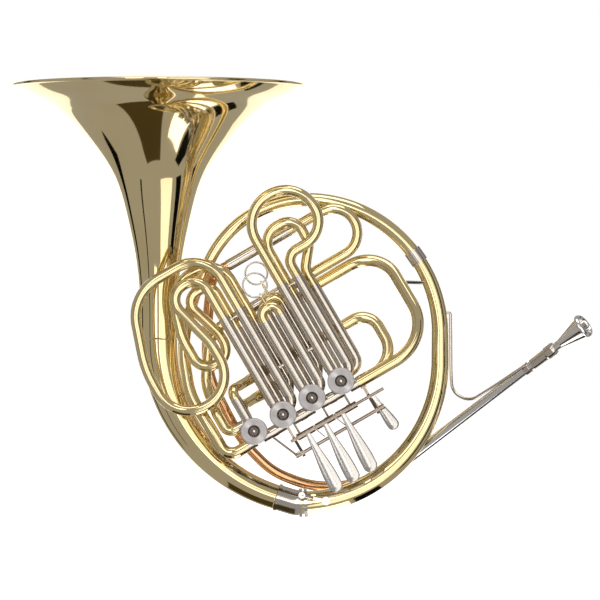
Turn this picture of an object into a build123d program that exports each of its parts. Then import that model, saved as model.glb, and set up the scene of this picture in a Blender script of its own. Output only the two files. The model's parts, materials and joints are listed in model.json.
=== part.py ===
"""Double french horn with four rotary valves, standing bell up.

Frame: millimetres, +Z up along the bell's axis, origin at the centre of the bell's mouth.
X runs to the mouthpiece side. The big ring of tubing lies in the plane Y = 0, and the valves
and their slides stand in front of it, towards -Y.

The valve cluster has its own frame: u runs along the row of valves, v along the slides and
w out of the front, from the plane of the big ring.
"""
from build123d import *
import os
from math import asin, cos, degrees, pi, radians, sin, tan

os.makedirs("parts", exist_ok=True)

# ---------------------------------------------------------------- bell
BELL_RADIUS = 155.0
BELL_WALL = 0.6
BEAD = 3.4
BEAD_ROUNDING = 1.2
RIM_WIRE_RADIUS = 0.95
RIM_WIRE_GAP = 0.03
# Radius and height of the flare below its rim.
FLARE = [(134.0, -13.0), (112.5, -23.5), (95.5, -36.0), (67.0, -67.0), (46.7, -97.5),
         (34.0, -137.0), (24.5, -182.0), (20.9, -216.0)]
THROAT_RADIUS = 19.8
THROAT_Z = -266.0

# ---------------------------------------------------------------- big ring
TAIL_BEND = 173.0
TAIL_END_ANGLE = 253.0
TAIL_RADII = (THROAT_RADIUS, 18.6, 17.3, 16.0, 14.8, 13.7, 12.9)
RING_WALL = 0.6
RING_CENTRE = (146.0, -290.0)
RING_BEND = 147.5
RING_RISE = 30.0
SHOULDER_BEND = 139.5
CROWN_BEND = 112.0
CROWN_END_ANGLE = 155.0
FERRULE_ANGLE = 35.0
BRANCH_START_RADIUS = 12.0
BRANCH_MID_RADIUS = 8.0
BRANCH_END_RADIUS = 6.4
FERRULE_THICKNESS = 1.4
FERRULE_GAP = 0.8
FERRULE_LENGTH = 15.0
FERRULE_RADIUS = 13.4
FERRULE_BORE = 11.4
FERRULE_BEND = 23.0
FERRULE_BEAD = 3.4
FERRULE_BEAD_RADIUS = 15.0
# Distance of each bead's middle along the branch from its lower end.
FERRULE_BEADS = (1.9, 7.2)
SOLDER_GAP = 0.02

# ---------------------------------------------------------------- valve cluster frame
CLUSTER_ORIGIN = (144.6, 0.0, -334.9)
CLUSTER_ANGLE = 30.0
FRONT = 47.0
MIDDLE = 31.0
REAR = 15.0
BACK = 1.0

# ---------------------------------------------------------------- rotary valves
VALVE_PITCH = 34.5
CASING_RADIUS = 13.6
CASING_BACK = 19.0
CASING_FRONT = 60.0
ROTOR_RADIUS = 11.5
ROTOR_BACK = 22.0
ROTOR_FRONT = 55.4
ROTOR_GAP = 0.05
ROTOR_END_GAP = 0.3
PASSAGE_RADIUS = 3.6
PASSAGE_BEND = 7.5
PASSAGE_OFFSET = 12.6
JOURNAL_RADIUS = 2.5
JOURNAL_GAP = 0.05
CAP_RADIUS = 13.9
CAP_SKIRT = 5.5
CAP_WALL = 0.9
CAP_TOP = 3.0
CAP_HOLLOW_RADIUS = 6.0
CAP_BOSS_RADIUS = 1.9
BEARING_THICKNESS = 2.4

# ---------------------------------------------------------------- tubing
SLIDE_BORE = 5.55
SLEEVE_WALL = 0.45
SLIDE_GAP = 0.06
TUBE_WALL = 0.6
SLEEVE_RADIUS = SLIDE_BORE + SLEEVE_WALL
STUB_RADIUS = SLIDE_BORE - SOLDER_GAP
LEG_RADIUS = SLIDE_BORE - SLIDE_GAP
LOOP_RADIUS = 6.3
RUN_V = -10.5
STUB_TOP = 18.0
SLEEVE_FOOT = 15.0
OFFSET_FOOT = 30.0
ELBOW_V = 3.0
ELBOW_BEND = 9.0

# Legs of the slides, from the centre of their valve.
FRONT_LEFT = -3.25
FRONT_RIGHT = 15.25
MIDDLE_LEFT = 2.75
MIDDLE_RIGHT = 22.75
FIRST_MIDDLE_RIGHT = 25.25
LONG_SLEEVE_TOP = 117.0
SHORT_SLEEVE_TOP = 92.0
MIDDLE_SLEEVE_TOP = 100.0
LEG_FOOT = 30.0
MIDDLE_LEG_FOOT = 38.0

# Main tuning slide, which lies across the cluster.
TUNING_TOP_V = 162.0
TUNING_LOW_V = 111.5
TUNING_SLEEVE_START = 10.0
TUNING_SLEEVE_END = 84.0
TUNING_LEG_START = 42.0
TUNING_BOW_U = 147.0
TUNING_BEND = 25.0

# ---------------------------------------------------------------- linkage
HINGE_V = -29.0
HINGE_W = 38.0
HINGE_ROD_RADIUS = 1.5
HINGE_GAP = 0.05
BARREL_RADIUS = 3.5
LINK_W = 8.0
CRANK_RADIUS = 5.0
CRANK_PIN_RADIUS = 1.2
CRANK_PIN_GAP = 0.25
LINK_PIN_GAP = 0.05
ARM_THICKNESS = 3.0
LINK_THICKNESS = 2.4
THUMB_V = -45.5
THUMB_W = 26.0
THUMB_ROD_RADIUS = 1.8
PADDLE_THICKNESS = 2.0

# Stop arms, which turn with the rotors between two rubber bumpers.
STOP_ARM_BACK = 10.6
SPINDLE_END = STOP_ARM_BACK + 0.1
STOP_ARM_THICKNESS = 2.4
STOP_ARM_RADIUS = 7.0
FIN_WIDTH = 3.0
FIN_REACH = 11.5
BUMPER_PLATE = 1.6
BUMPER_RADIUS = 2.2
BUMPER_REACH = 9.4
BUMPER_GAP = 0.25

# ---------------------------------------------------------------- braces, eyes and rings
BRACE_RADIUS = 1.3
BRACE_FOOT = 2.7
# Volume in cubic millimetres under which a solid is a chip, not a brace.
SMALLEST_BRACE = 10.0
PULL_WIRE = 0.9
EYE_RADIUS = 2.8
EYE_HOLE = 1.35
EYE_THICKNESS = 1.6
EYE_POST = 1.3
# Name, centre u and v, radius and depth of each pull ring.
PULL_RINGS = (("front_pull_ring", 24.2, 130.0, 12.5, FRONT),
              ("middle_pull_ring", 31.5, 140.0, 11.5, MIDDLE))
# Slide, then the eye's u and v, and the v where its post stands on the bow.
PULL_EYES = {"front_second_slide": (24.2, 117.5, 109.1),
             "middle_second_slide": (31.5, 128.5, 115.5)}

# ---------------------------------------------------------------- leadpipe and mouthpiece
LEAD_START = (267.3, 20.0, -387.3)
LEAD_RISE_ANGLE = 38.3
LEAD_TILT = 22.0
LEAD_LENGTH = 174.0
LEAD_START_RADIUS = 5.5
LEAD_END_RADIUS = 4.7
RECEIVER_START = 166.0
RECEIVER_END = 196.0
RECEIVER_RADIUS = 6.3
SHANK_TIP = 178.0
SHANK_TIP_RADIUS = 3.9
SHANK_TOP = 204.0
SHANK_TOP_RADIUS = 4.7
SHANK_GAP = 0.05
RIM_END = 238.0
RIM_RADIUS = 13.3
CLAMP_REACH = 158.0
SPRING_WIRE = 0.45
KEY_ANGLE = 281.0
KEY_SEAT = 2.5
KEY_PIVOT_REACH = 13.0
KEY_PIVOT_HEIGHT = 3.4
KEY_PIVOT_RISE = 2.6
KEY_ARM_HEIGHT = 4.4
KEY_ARM_THICKNESS = 1.6
KEY_TOUCH_REACH = 12.0
KEY_TOUCH_HEIGHT = 9.6
KEY_TOUCH_RADIUS = 3.4


def cluster_plane(depth=0.0):
    """The plane across the valves at a depth w: its x is u and its y is v."""
    slope = radians(CLUSTER_ANGLE)
    flat = Plane(origin=CLUSTER_ORIGIN, x_dir=(cos(slope), 0, sin(slope)), z_dir=(0, -1, 0))
    return flat.offset(depth)


def at(u, v, w):
    """A point of the valve cluster in the horn's own frame."""
    return cluster_plane().from_local_coords(Vector(u, v, w))


def across_plane(u, v, w):
    """The plane square to the row of valves at a point: its x is v and its y is w."""
    along_v = at(0, 1, 0) - at(0, 0, 0)
    along_u = at(1, 0, 0) - at(0, 0, 0)
    return Plane(origin=at(u, v, w), x_dir=along_v, z_dir=along_u)


def ring_point(centre, bend, angle):
    """A point in the plane of the big ring, on an arc about a centre given as (x, z)."""
    turn = radians(angle)
    return Vector(centre[0] + bend * cos(turn), 0, centre[1] + bend * sin(turn))


def easy_bends(points):
    """The largest bend radius that each corner's two runs allow."""
    bends = []
    for before, corner, after in zip(points, points[1:], points[2:]):
        first = Vector(corner) - Vector(before)
        second = Vector(after) - Vector(corner)
        turn = radians(first.get_angle(second))
        bends.append(0.45 * min(first.length, second.length) / tan(turn / 2))
    return bends


def add_tube(points, bends, outer, bore=0.0, mode=Mode.ADD):
    """A round tube, or a bar without a bore, on straight runs joined by tangent arcs."""
    with BuildLine() as route:
        if bends:
            FilletPolyline(*points, radius=bends)
        else:
            Line(*points)
    wire = route.wires()[0]
    with BuildSketch(Plane(origin=wire @ 0, z_dir=wire % 0)) as section:
        Circle(outer)
        if bore > 0:
            Circle(bore, mode=Mode.SUBTRACT)
    sweep(section.sketch, path=wire, mode=mode)


def add_taper(route, sizes, wall):
    """A hollow tube along a flat route in the ring's plane, through evenly spaced radii."""
    last = len(sizes) - 1
    for inset, mode in ((0.0, Mode.ADD), (wall, Mode.SUBTRACT)):
        sections = []
        for index, size in enumerate(sizes):
            place = route @ (index / last)
            along = route % (index / last)
            with BuildSketch(Plane(origin=place, x_dir=(0, 1, 0), z_dir=along)) as section:
                Circle(size - inset)
            sections.append(section.sketch)
        loft(sections, mode=mode)


def even_taper(start, end, steps):
    """Radii that change evenly from one end of a tube to the other."""
    return [start + (end - start) * step / steps for step in range(steps + 1)]


def add_pin(start, end, size, bore=0.0, mode=Mode.ADD):
    """A straight round pin between two points."""
    add_tube([start, end], [], size, bore, mode)


def shifted(points, distance):
    """A row of flat points moved to the right of their own direction of travel."""
    moved = []
    last = len(points) - 1
    for index, (x, y) in enumerate(points):
        ahead = points[min(index + 1, last)]
        behind = points[max(index - 1, 0)]
        heading = Vector(ahead[0] - behind[0], ahead[1] - behind[1]).normalized()
        if index == last:
            heading = Vector(0, -1)
        moved.append((x + distance * heading.Y, y - distance * heading.X))
    return moved


def write_part(piece, name):
    """Label a finished piece and write its file."""
    piece.part.label = name
    export_step(piece.part, f"parts/{name}.step")


# ================================================================ bell
bead_middle = (BELL_RADIUS - BEAD / 2, -BEAD / 2)
flare_points = [bead_middle, *FLARE, (THROAT_RADIUS, THROAT_Z)]
with BuildPart() as bell_flare:
    with BuildSketch(Plane.XZ):
        with BuildLine():
            outside = Spline(*flare_points)
            inside = Spline(*shifted(flare_points, BELL_WALL))
            Line(outside @ 0, inside @ 0)
            Line(outside @ 1, inside @ 1)
        make_face()
        with Locations(bead_middle):
            RectangleRounded(BEAD, BEAD, BEAD_ROUNDING)
            Circle(RIM_WIRE_RADIUS + RIM_WIRE_GAP, mode=Mode.SUBTRACT)
    revolve(axis=Axis.Z)
write_part(bell_flare, "bell_flare")

with BuildPart() as bell_rim_wire:
    with BuildSketch(Plane.XZ):
        with Locations(bead_middle):
            Circle(RIM_WIRE_RADIUS)
    revolve(axis=Axis.Z)
write_part(bell_rim_wire, "bell_rim_wire")

tail_centre = (TAIL_BEND, THROAT_Z)
with BuildPart() as bell_tail:
    with BuildLine(mode=Mode.PRIVATE) as tail_route:
        ThreePointArc(ring_point(tail_centre, TAIL_BEND, 180),
                      ring_point(tail_centre, TAIL_BEND, (180 + TAIL_END_ANGLE) / 2),
                      ring_point(tail_centre, TAIL_BEND, TAIL_END_ANGLE))
    add_taper(tail_route.wires()[0], TAIL_RADII, RING_WALL)
write_part(bell_tail, "bell_tail")

# ================================================================ big ring
branch_start = ring_point(tail_centre, TAIL_BEND, TAIL_END_ANGLE)
ring_bottom = ring_point(RING_CENTRE, RING_BEND, 270)
ring_side = ring_point(RING_CENTRE, RING_BEND, 0)
shoulder_centre = (ring_side.X - SHOULDER_BEND, RING_CENTRE[1] + RING_RISE)
shoulder_side = ring_point(shoulder_centre, SHOULDER_BEND, 0)
crown_centre = (shoulder_centre[0], shoulder_centre[1] + SHOULDER_BEND - CROWN_BEND)

with BuildPart() as main_branch:
    with BuildLine(mode=Mode.PRIVATE) as branch_route:
        ThreePointArc(ring_bottom, ring_point(RING_CENTRE, RING_BEND, 315), ring_side)
        Line(ring_side, shoulder_side)
        ThreePointArc(shoulder_side,
                      ring_point(shoulder_centre, SHOULDER_BEND, FERRULE_ANGLE / 2),
                      ring_point(shoulder_centre, SHOULDER_BEND, FERRULE_ANGLE))
    add_taper(branch_route.wires()[0],
              even_taper(BRANCH_START_RADIUS, BRANCH_MID_RADIUS, 16), RING_WALL)
write_part(main_branch, "main_branch")

with BuildPart() as upper_branch:
    with BuildLine(mode=Mode.PRIVATE) as upper_route:
        ThreePointArc(ring_point(shoulder_centre, SHOULDER_BEND, FERRULE_ANGLE),
                      ring_point(shoulder_centre, SHOULDER_BEND, (FERRULE_ANGLE + 90) / 2),
                      ring_point(shoulder_centre, SHOULDER_BEND, 90))
        ThreePointArc(ring_point(crown_centre, CROWN_BEND, 90),
                      ring_point(crown_centre, CROWN_BEND, (90 + CROWN_END_ANGLE) / 2),
                      ring_point(crown_centre, CROWN_BEND, CROWN_END_ANGLE))
    add_taper(upper_route.wires()[0],
              even_taper(BRANCH_MID_RADIUS - 0.2, BRANCH_END_RADIUS, 12), RING_WALL)
write_part(upper_branch, "upper_branch")

crown_end = ring_point(crown_centre, CROWN_BEND, CROWN_END_ANGLE)
crown_heading = Vector(-sin(radians(CROWN_END_ANGLE)), 0, cos(radians(CROWN_END_ANGLE)))
change_u = -1.5 * VALVE_PITCH
with BuildPart() as branch_return:
    return_points = [crown_end, crown_end + crown_heading * 34, Vector(24, -14, -272),
                     Vector(33, -24, -325), at(-90, 32, MIDDLE), at(-90, RUN_V, MIDDLE),
                     at(change_u - 14.4, RUN_V, MIDDLE)]
    return_bends = easy_bends(return_points)
    return_bends[-1] = 13.0
    add_tube(return_points, return_bends, SLEEVE_RADIUS + 0.2, SLIDE_BORE)
write_part(branch_return, "branch_return")


with BuildPart() as branch_ferrules:
    # The sleeve between the bell's tail and the branch, with a collar and two beads.
    tail_turn = radians(TAIL_END_ANGLE)
    tail_heading = Vector(-sin(tail_turn), 0, cos(tail_turn))
    corner = branch_start + tail_heading * ((ring_bottom.Z - branch_start.Z) / tail_heading.Z)
    add_tube([branch_start, corner, ring_bottom], [FERRULE_BEND], FERRULE_RADIUS, FERRULE_BORE)
    add_pin(branch_start, branch_start + tail_heading * FERRULE_BEAD, FERRULE_RADIUS + 1,
            FERRULE_BORE)
    for distance in FERRULE_BEADS:
        angle = 270 + degrees(distance / RING_BEND)
        bead_turn = radians(angle)
        bead = ring_point(RING_CENTRE, RING_BEND, angle)
        along = Vector(-sin(bead_turn), 0, cos(bead_turn)) * (FERRULE_BEAD / 2)
        add_pin(bead - along, bead + along, FERRULE_BEAD_RADIUS, BRANCH_START_RADIUS + 0.1)
    # The sleeve at the shoulder, over both halves of the branch.
    turn = radians(FERRULE_ANGLE)
    with BuildSketch(Plane(origin=ring_point(shoulder_centre, SHOULDER_BEND, FERRULE_ANGLE),
                           z_dir=(-sin(turn), 0, cos(turn)))):
        Circle(BRANCH_MID_RADIUS + FERRULE_THICKNESS)
        Circle(BRANCH_MID_RADIUS + FERRULE_GAP, mode=Mode.SUBTRACT)
    extrude(amount=FERRULE_LENGTH / 2, both=True)
write_part(branch_ferrules, "branch_ferrules")


# ================================================================ rotary valves
def valve_routes(place):
    """The stubs of one valve: each a list of points and the bends at its corners."""
    u = VALVE_US[place]
    elbow = (u + 4, ELBOW_V)
    routes = []
    if place > 0:
        routes.append(([at(u + FRONT_LEFT, 4, FRONT), at(u + FRONT_LEFT, STUB_TOP, FRONT)], []))
        routes.append(([at(*elbow, FRONT), at(u + FRONT_RIGHT, ELBOW_V, FRONT),
                        at(u + FRONT_RIGHT, STUB_TOP, FRONT)], [ELBOW_BEND]))
        routes.append(([at(u + MIDDLE_LEFT, 4, MIDDLE), at(u + MIDDLE_LEFT, STUB_TOP, MIDDLE)], []))
    if place in (1, 2):
        routes.append(([at(*elbow, MIDDLE), at(u + FRONT_RIGHT, ELBOW_V, MIDDLE),
                        at(u + FRONT_RIGHT, 15, MIDDLE), at(u + MIDDLE_RIGHT, 27, MIDDLE),
                        at(u + MIDDLE_RIGHT, OFFSET_FOOT + 3, MIDDLE)], [8.5, 8, 8]))
    if place == 3:
        routes.append(([at(*elbow, MIDDLE), at(u + FIRST_MIDDLE_RIGHT, ELBOW_V, MIDDLE),
                        at(u + FIRST_MIDDLE_RIGHT, STUB_TOP, MIDDLE)], [ELBOW_BEND + 2]))
    if place == 0:
        routes.append(([at(u, 4, FRONT), at(u, STUB_TOP, FRONT)], []))
        routes.append(([at(u, 4, MIDDLE), at(u, STUB_TOP, MIDDLE)], []))
        routes.append(([at(u - 6.5, -RUN_V, MIDDLE), at(u - 16, -RUN_V, MIDDLE)], []))
    levels = (MIDDLE,) if place == 0 else (FRONT, MIDDLE)
    for level in levels:
        routes.append(([at(u - 4, RUN_V, level), at(u - 16, RUN_V, level)], []))
    for level in (FRONT, MIDDLE):
        routes.append(([at(u + 4, RUN_V, level), at(u + 16, RUN_V, level)], []))
    return routes


VALVES = ("change_valve", "third_valve", "second_valve", "first_valve")
VALVE_US = [(place - 1.5) * VALVE_PITCH for place in range(4)]
rotor_bore = ROTOR_RADIUS + ROTOR_GAP

for place, name in enumerate(VALVES):
    u = VALVE_US[place]
    with BuildPart() as casing:
        with BuildSketch(cluster_plane(CASING_BACK)):
            with Locations((u, 0)):
                Circle(CASING_RADIUS)
        extrude(amount=CASING_FRONT - CASING_BACK)
        for points, bends in valve_routes(place):
            add_tube(points, bends, STUB_RADIUS)
        for points, bends in valve_routes(place):
            add_tube(points, bends, STUB_RADIUS - TUBE_WALL, mode=Mode.SUBTRACT)
        add_pin(at(u, 0, ROTOR_BACK - ROTOR_END_GAP), at(u, 0, CASING_FRONT), rotor_bore,
                mode=Mode.SUBTRACT)
        add_pin(at(u, 0, CASING_BACK), at(u, 0, ROTOR_BACK), JOURNAL_RADIUS + JOURNAL_GAP,
                mode=Mode.SUBTRACT)
        # The front is turned down where the cap screws on.
        with BuildSketch(cluster_plane(CASING_FRONT)):
            with Locations((u, 0)):
                Circle(CAP_RADIUS + 1)
                Circle(CAP_RADIUS - CAP_WALL - SLIDE_GAP, mode=Mode.SUBTRACT)
        extrude(amount=-CAP_SKIRT, mode=Mode.SUBTRACT)
    write_part(casing, f"{name}_casing")

    with BuildPart() as rotor:
        add_pin(at(u, 0, ROTOR_BACK), at(u, 0, ROTOR_FRONT), ROTOR_RADIUS)
        add_pin(at(u, 0, SPINDLE_END), at(u, 0, ROTOR_BACK), JOURNAL_RADIUS)
        add_pin(at(u, 0, ROTOR_FRONT), at(u, 0, CASING_FRONT - 0.6), JOURNAL_RADIUS)
        for level in (FRONT, MIDDLE):
            for side in (-1, 1):
                with BuildSketch(across_plane(u, side * PASSAGE_OFFSET, level)) as hole:
                    with Locations((-side * PASSAGE_BEND, 0)):
                        Circle(PASSAGE_RADIUS)
                axis = Axis(at(u, side * PASSAGE_OFFSET, level), (0, 1, 0))
                revolve(hole.sketch, axis=axis, revolution_arc=360, mode=Mode.SUBTRACT)
    write_part(rotor, f"{name}_rotor")

with BuildPart() as bearing_plates:
    for u in VALVE_US:
        with BuildSketch(cluster_plane(ROTOR_FRONT + ROTOR_END_GAP)) as plate:
            with Locations((u, 0)):
                Circle(rotor_bore - SOLDER_GAP)
                Circle(JOURNAL_RADIUS + JOURNAL_GAP, mode=Mode.SUBTRACT)
        extrude(plate.sketch, amount=BEARING_THICKNESS)
        with BuildSketch(cluster_plane(CASING_BACK - SOLDER_GAP)) as plate:
            with Locations((u, 0)):
                Circle(CASING_RADIUS - 0.8)
                Circle(JOURNAL_RADIUS + 1.5, mode=Mode.SUBTRACT)
        extrude(plate.sketch, amount=-BUMPER_PLATE)
write_part(bearing_plates, "bearing_plates")

with BuildPart() as valve_caps:
    for u in VALVE_US:
        profile_plane = Plane(origin=at(u, 0, CASING_FRONT), x_dir=at(1, 0, 0) - at(0, 0, 0),
                              z_dir=at(0, 0, 0) - at(0, 1, 0))
        with BuildSketch(profile_plane) as profile:
            with BuildLine():
                Polyline((0, SOLDER_GAP), (CAP_RADIUS - CAP_WALL, SOLDER_GAP),
                         (CAP_RADIUS - CAP_WALL, -CAP_SKIRT + 0.1),
                         (CAP_RADIUS, -CAP_SKIRT + 0.1), (CAP_RADIUS, CAP_TOP - 1.0),
                         (CAP_RADIUS - 0.7, CAP_TOP - 0.2), (CAP_RADIUS - 2.0, CAP_TOP),
                         (CAP_HOLLOW_RADIUS + 0.6, CAP_TOP), (CAP_HOLLOW_RADIUS, CAP_TOP - 0.5),
                         (CAP_HOLLOW_RADIUS - 1.2, CAP_TOP - 1.6), (CAP_BOSS_RADIUS, CAP_TOP - 1.8),
                         (CAP_BOSS_RADIUS - 0.3, CAP_TOP - 0.6), (0, CAP_TOP - 0.3),
                         close=True)
            make_face()
        revolve(profile.sketch, axis=Axis(at(u, 0, 0), (0, -1, 0)))
write_part(valve_caps, "valve_caps")

bumper_angle = degrees(asin((FIN_WIDTH / 2 + BUMPER_RADIUS + BUMPER_GAP) / BUMPER_REACH))
with BuildPart() as bumpers:
    for u in VALVE_US:
        for angle in (45 - bumper_angle, 135 + bumper_angle):
            turn = radians(angle)
            u_side = u + BUMPER_REACH * cos(turn)
            v_side = BUMPER_REACH * sin(turn)
            add_pin(at(u_side, v_side, CASING_BACK - SOLDER_GAP - BUMPER_PLATE),
                    at(u_side, v_side, STOP_ARM_BACK - 0.4), BUMPER_RADIUS)
write_part(bumpers, "bumpers")

with BuildPart() as coupling_sleeves:
    for u in VALVE_US[:3]:
        for level in (FRONT, MIDDLE):
            add_pin(at(u + VALVE_PITCH / 2 - 3.8, RUN_V, level),
                    at(u + VALVE_PITCH / 2 + 3.8, RUN_V, level), SLEEVE_RADIUS, SLIDE_BORE)
    add_pin(at(change_u, SLEEVE_FOOT, FRONT), at(change_u, 38, FRONT), SLEEVE_RADIUS, SLIDE_BORE)
write_part(coupling_sleeves, "coupling_sleeves")

# ================================================================ fixed tubes of the valve slides
third_u, second_u, first_u = VALVE_US[1:]
FRONT_LEGS = [third_u + FRONT_LEFT, third_u + FRONT_RIGHT, second_u + FRONT_LEFT,
              second_u + FRONT_RIGHT, first_u + FRONT_LEFT, first_u + FRONT_RIGHT]
MIDDLE_LEGS = [third_u + MIDDLE_LEFT, third_u + MIDDLE_RIGHT, second_u + MIDDLE_LEFT,
               second_u + MIDDLE_RIGHT, first_u + MIDDLE_LEFT, first_u + FIRST_MIDDLE_RIGHT]

with BuildPart() as front_slide_sleeves:
    for index, u in enumerate(FRONT_LEGS):
        top = SHORT_SLEEVE_TOP if index in (2, 3) else LONG_SLEEVE_TOP
        add_pin(at(u, SLEEVE_FOOT, FRONT), at(u, top, FRONT), SLEEVE_RADIUS, SLIDE_BORE)
write_part(front_slide_sleeves, "front_slide_sleeves")

with BuildPart() as middle_slide_sleeves:
    for index, u in enumerate(MIDDLE_LEGS):
        foot = OFFSET_FOOT if index in (1, 3) else SLEEVE_FOOT
        add_pin(at(u, foot, MIDDLE), at(u, MIDDLE_SLEEVE_TOP, MIDDLE), SLEEVE_RADIUS, SLIDE_BORE)
write_part(middle_slide_sleeves, "middle_slide_sleeves")

# ================================================================ moving slides
FRONT_THIRD = [(FRONT_LEGS[1], LEG_FOOT), (FRONT_LEGS[1], 186), (-92, 186), (-118, 110),
               (-118, 47), (-45, 47), (-45, 100), (-61.5, 167), (FRONT_LEGS[0], 167),
               (FRONT_LEGS[0], LEG_FOOT)]
FRONT_THIRD_BENDS = [34, 45, 110, 36, 36, 60, 17, 17]
FRONT_SECOND = [(FRONT_LEGS[2], LEG_FOOT), (FRONT_LEGS[2], 104), (FRONT_LEGS[3], 104),
                (FRONT_LEGS[3], LEG_FOOT)]
FRONT_FIRST = [(FRONT_LEGS[4], LEG_FOOT), (FRONT_LEGS[4], 204), (118, 204), (118, 140.5),
               (FRONT_LEGS[5], 140.5), (FRONT_LEGS[5], LEG_FOOT)]
MIDDLE_THIRD = [(MIDDLE_LEGS[1], MIDDLE_LEG_FOOT), (MIDDLE_LEGS[1], 174), (-52, 174), (-69, 120),
                (-69, 79), (-33, 79), (-33, 104), (-48, 154.5), (MIDDLE_LEGS[0], 154.5),
                (MIDDLE_LEGS[0], MIDDLE_LEG_FOOT)]
MIDDLE_THIRD_BENDS = [28, 35, 60, 17.5, 17.5, 38, 12.5, 12.5]
MIDDLE_SECOND = [(MIDDLE_LEGS[2], MIDDLE_LEG_FOOT), (MIDDLE_LEGS[2], 110.5),
                 (MIDDLE_LEGS[3], 110.5), (MIDDLE_LEGS[3], MIDDLE_LEG_FOOT)]
MIDDLE_FIRST = [(MIDDLE_LEGS[4], MIDDLE_LEG_FOOT), (MIDDLE_LEGS[4], 172), (95, 172), (95, 140),
                (MIDDLE_LEGS[5], 118), (MIDDLE_LEGS[5], MIDDLE_LEG_FOOT)]
short_bend = (FRONT_RIGHT - FRONT_LEFT) / 2 - 0.05
middle_bend = (MIDDLE_RIGHT - MIDDLE_LEFT) / 2 - 0.05
SLIDES = (
    ("front_third_slide", FRONT, FRONT_THIRD, FRONT_THIRD_BENDS),
    ("front_second_slide", FRONT, FRONT_SECOND, [short_bend, short_bend]),
    ("front_first_slide", FRONT, FRONT_FIRST, [34.5, 34.5, 28, 13]),
    ("middle_third_slide", MIDDLE, MIDDLE_THIRD, MIDDLE_THIRD_BENDS),
    ("middle_second_slide", MIDDLE, MIDDLE_SECOND, [middle_bend, middle_bend]),
    ("middle_first_slide", MIDDLE, MIDDLE_FIRST, [20, 17, 18, 18]),
)
for name, level, corners, bends in SLIDES:
    with BuildPart() as slide:
        points = [at(u, v, level) for u, v in corners]
        add_tube(points, bends, LEG_RADIUS, LEG_RADIUS - TUBE_WALL)
        if name in PULL_EYES:
            eye_u, eye_v, post_v = PULL_EYES[name]
            add_pin(at(eye_u, post_v, level), at(eye_u, eye_v - EYE_RADIUS + 0.6, level), EYE_POST)
            with BuildSketch(across_plane(eye_u - EYE_THICKNESS / 2, eye_v, level)) as eye:
                Circle(EYE_RADIUS)
                Circle(EYE_HOLE, mode=Mode.SUBTRACT)
            extrude(eye.sketch, amount=EYE_THICKNESS)
    write_part(slide, name)

with BuildPart() as main_tuning_slide:
    add_tube([at(TUNING_LEG_START, TUNING_TOP_V, REAR), at(TUNING_BOW_U, TUNING_TOP_V, REAR),
              at(TUNING_BOW_U, TUNING_LOW_V, REAR), at(TUNING_LEG_START, TUNING_LOW_V, REAR)],
             [TUNING_BEND, TUNING_BEND], LEG_RADIUS, LEG_RADIUS - TUBE_WALL)
write_part(main_tuning_slide, "main_tuning_slide")

with BuildPart() as tuning_slide_sleeves:
    for v in (TUNING_TOP_V, TUNING_LOW_V):
        add_pin(at(TUNING_SLEEVE_START, v, REAR), at(TUNING_SLEEVE_END, v, REAR),
                SLEEVE_RADIUS, SLIDE_BORE)
write_part(tuning_slide_sleeves, "tuning_slide_sleeves")

for name, ring_u, ring_v, ring_radius, level in PULL_RINGS:
    with BuildPart() as ring:
        with BuildSketch(across_plane(ring_u, ring_v - ring_radius, level)) as wire:
            Circle(PULL_WIRE)
        revolve(wire.sketch, axis=Axis(at(ring_u, ring_v, level), (0, 1, 0)))
    write_part(ring, name)

# ================================================================ tubes around the valves
with BuildPart() as cross_tube:
    add_tube([at(change_u, 30, FRONT), at(change_u, 48, FRONT), at(-31, 48, REAR),
              at(90, 48, REAR)], [9, 14], STUB_RADIUS, STUB_RADIUS - TUBE_WALL)
write_part(cross_tube, "cross_tube")

with BuildPart() as small_loop:
    add_tube([at(84, 48, REAR), at(114, 48, REAR), at(114, RUN_V, MIDDLE),
              at(first_u + 14.6, RUN_V, MIDDLE)], [20, 28], SLEEVE_RADIUS, SLIDE_BORE)
write_part(small_loop, "small_loop")

with BuildPart() as back_tube:
    back_points = [at(change_u, SLEEVE_FOOT, MIDDLE), at(change_u, 28, MIDDLE),
                   at(-34, 28, BACK), at(16, 28, BACK), at(60, 99, BACK), at(100, 99, BACK)]
    add_tube(back_points, [8, 20, 25, 25], SLEEVE_RADIUS, SLIDE_BORE)
write_part(back_tube, "back_tube")

with BuildPart() as large_loop:
    add_tube([at(100.02, 99, BACK), at(156, 99, BACK), at(156, RUN_V, FRONT),
              at(first_u + 14.6, RUN_V, FRONT)], [36, 45], LOOP_RADIUS, SLIDE_BORE)
write_part(large_loop, "large_loop")

with BuildPart() as tuning_return:
    add_tube([at(-68, -RUN_V, MIDDLE), at(-77, -RUN_V, MIDDLE), at(-77, 34, MIDDLE),
              at(-72, 68, REAR), at(-40, TUNING_LOW_V, REAR), at(TUNING_SLEEVE_START + 6,
              TUNING_LOW_V, REAR)], [8.4, 10, 40, 35], STUB_RADIUS, STUB_RADIUS - TUBE_WALL)
    add_pin(at(change_u - 14.4, -RUN_V, MIDDLE), at(-68, -RUN_V, MIDDLE), SLEEVE_RADIUS,
            SLIDE_BORE)
    add_pin(at(-68, -RUN_V, MIDDLE), at(-68.5, -RUN_V, MIDDLE), SLEEVE_RADIUS,
            STUB_RADIUS - TUBE_WALL)
write_part(tuning_return, "tuning_return")

# ================================================================ linkage
# Side of each valve where its crank pin stands, and the angle of the pin at rest.
CRANKS = (("change_valve", 1, 45), ("third_valve", 1, -45), ("second_valve", 1, -45),
          ("first_valve", -1, -135))
crank_middle = CRANK_RADIUS * (1 + cos(pi / 4)) / 2
crank_height = CRANK_RADIUS * sin(pi / 4)

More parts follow.
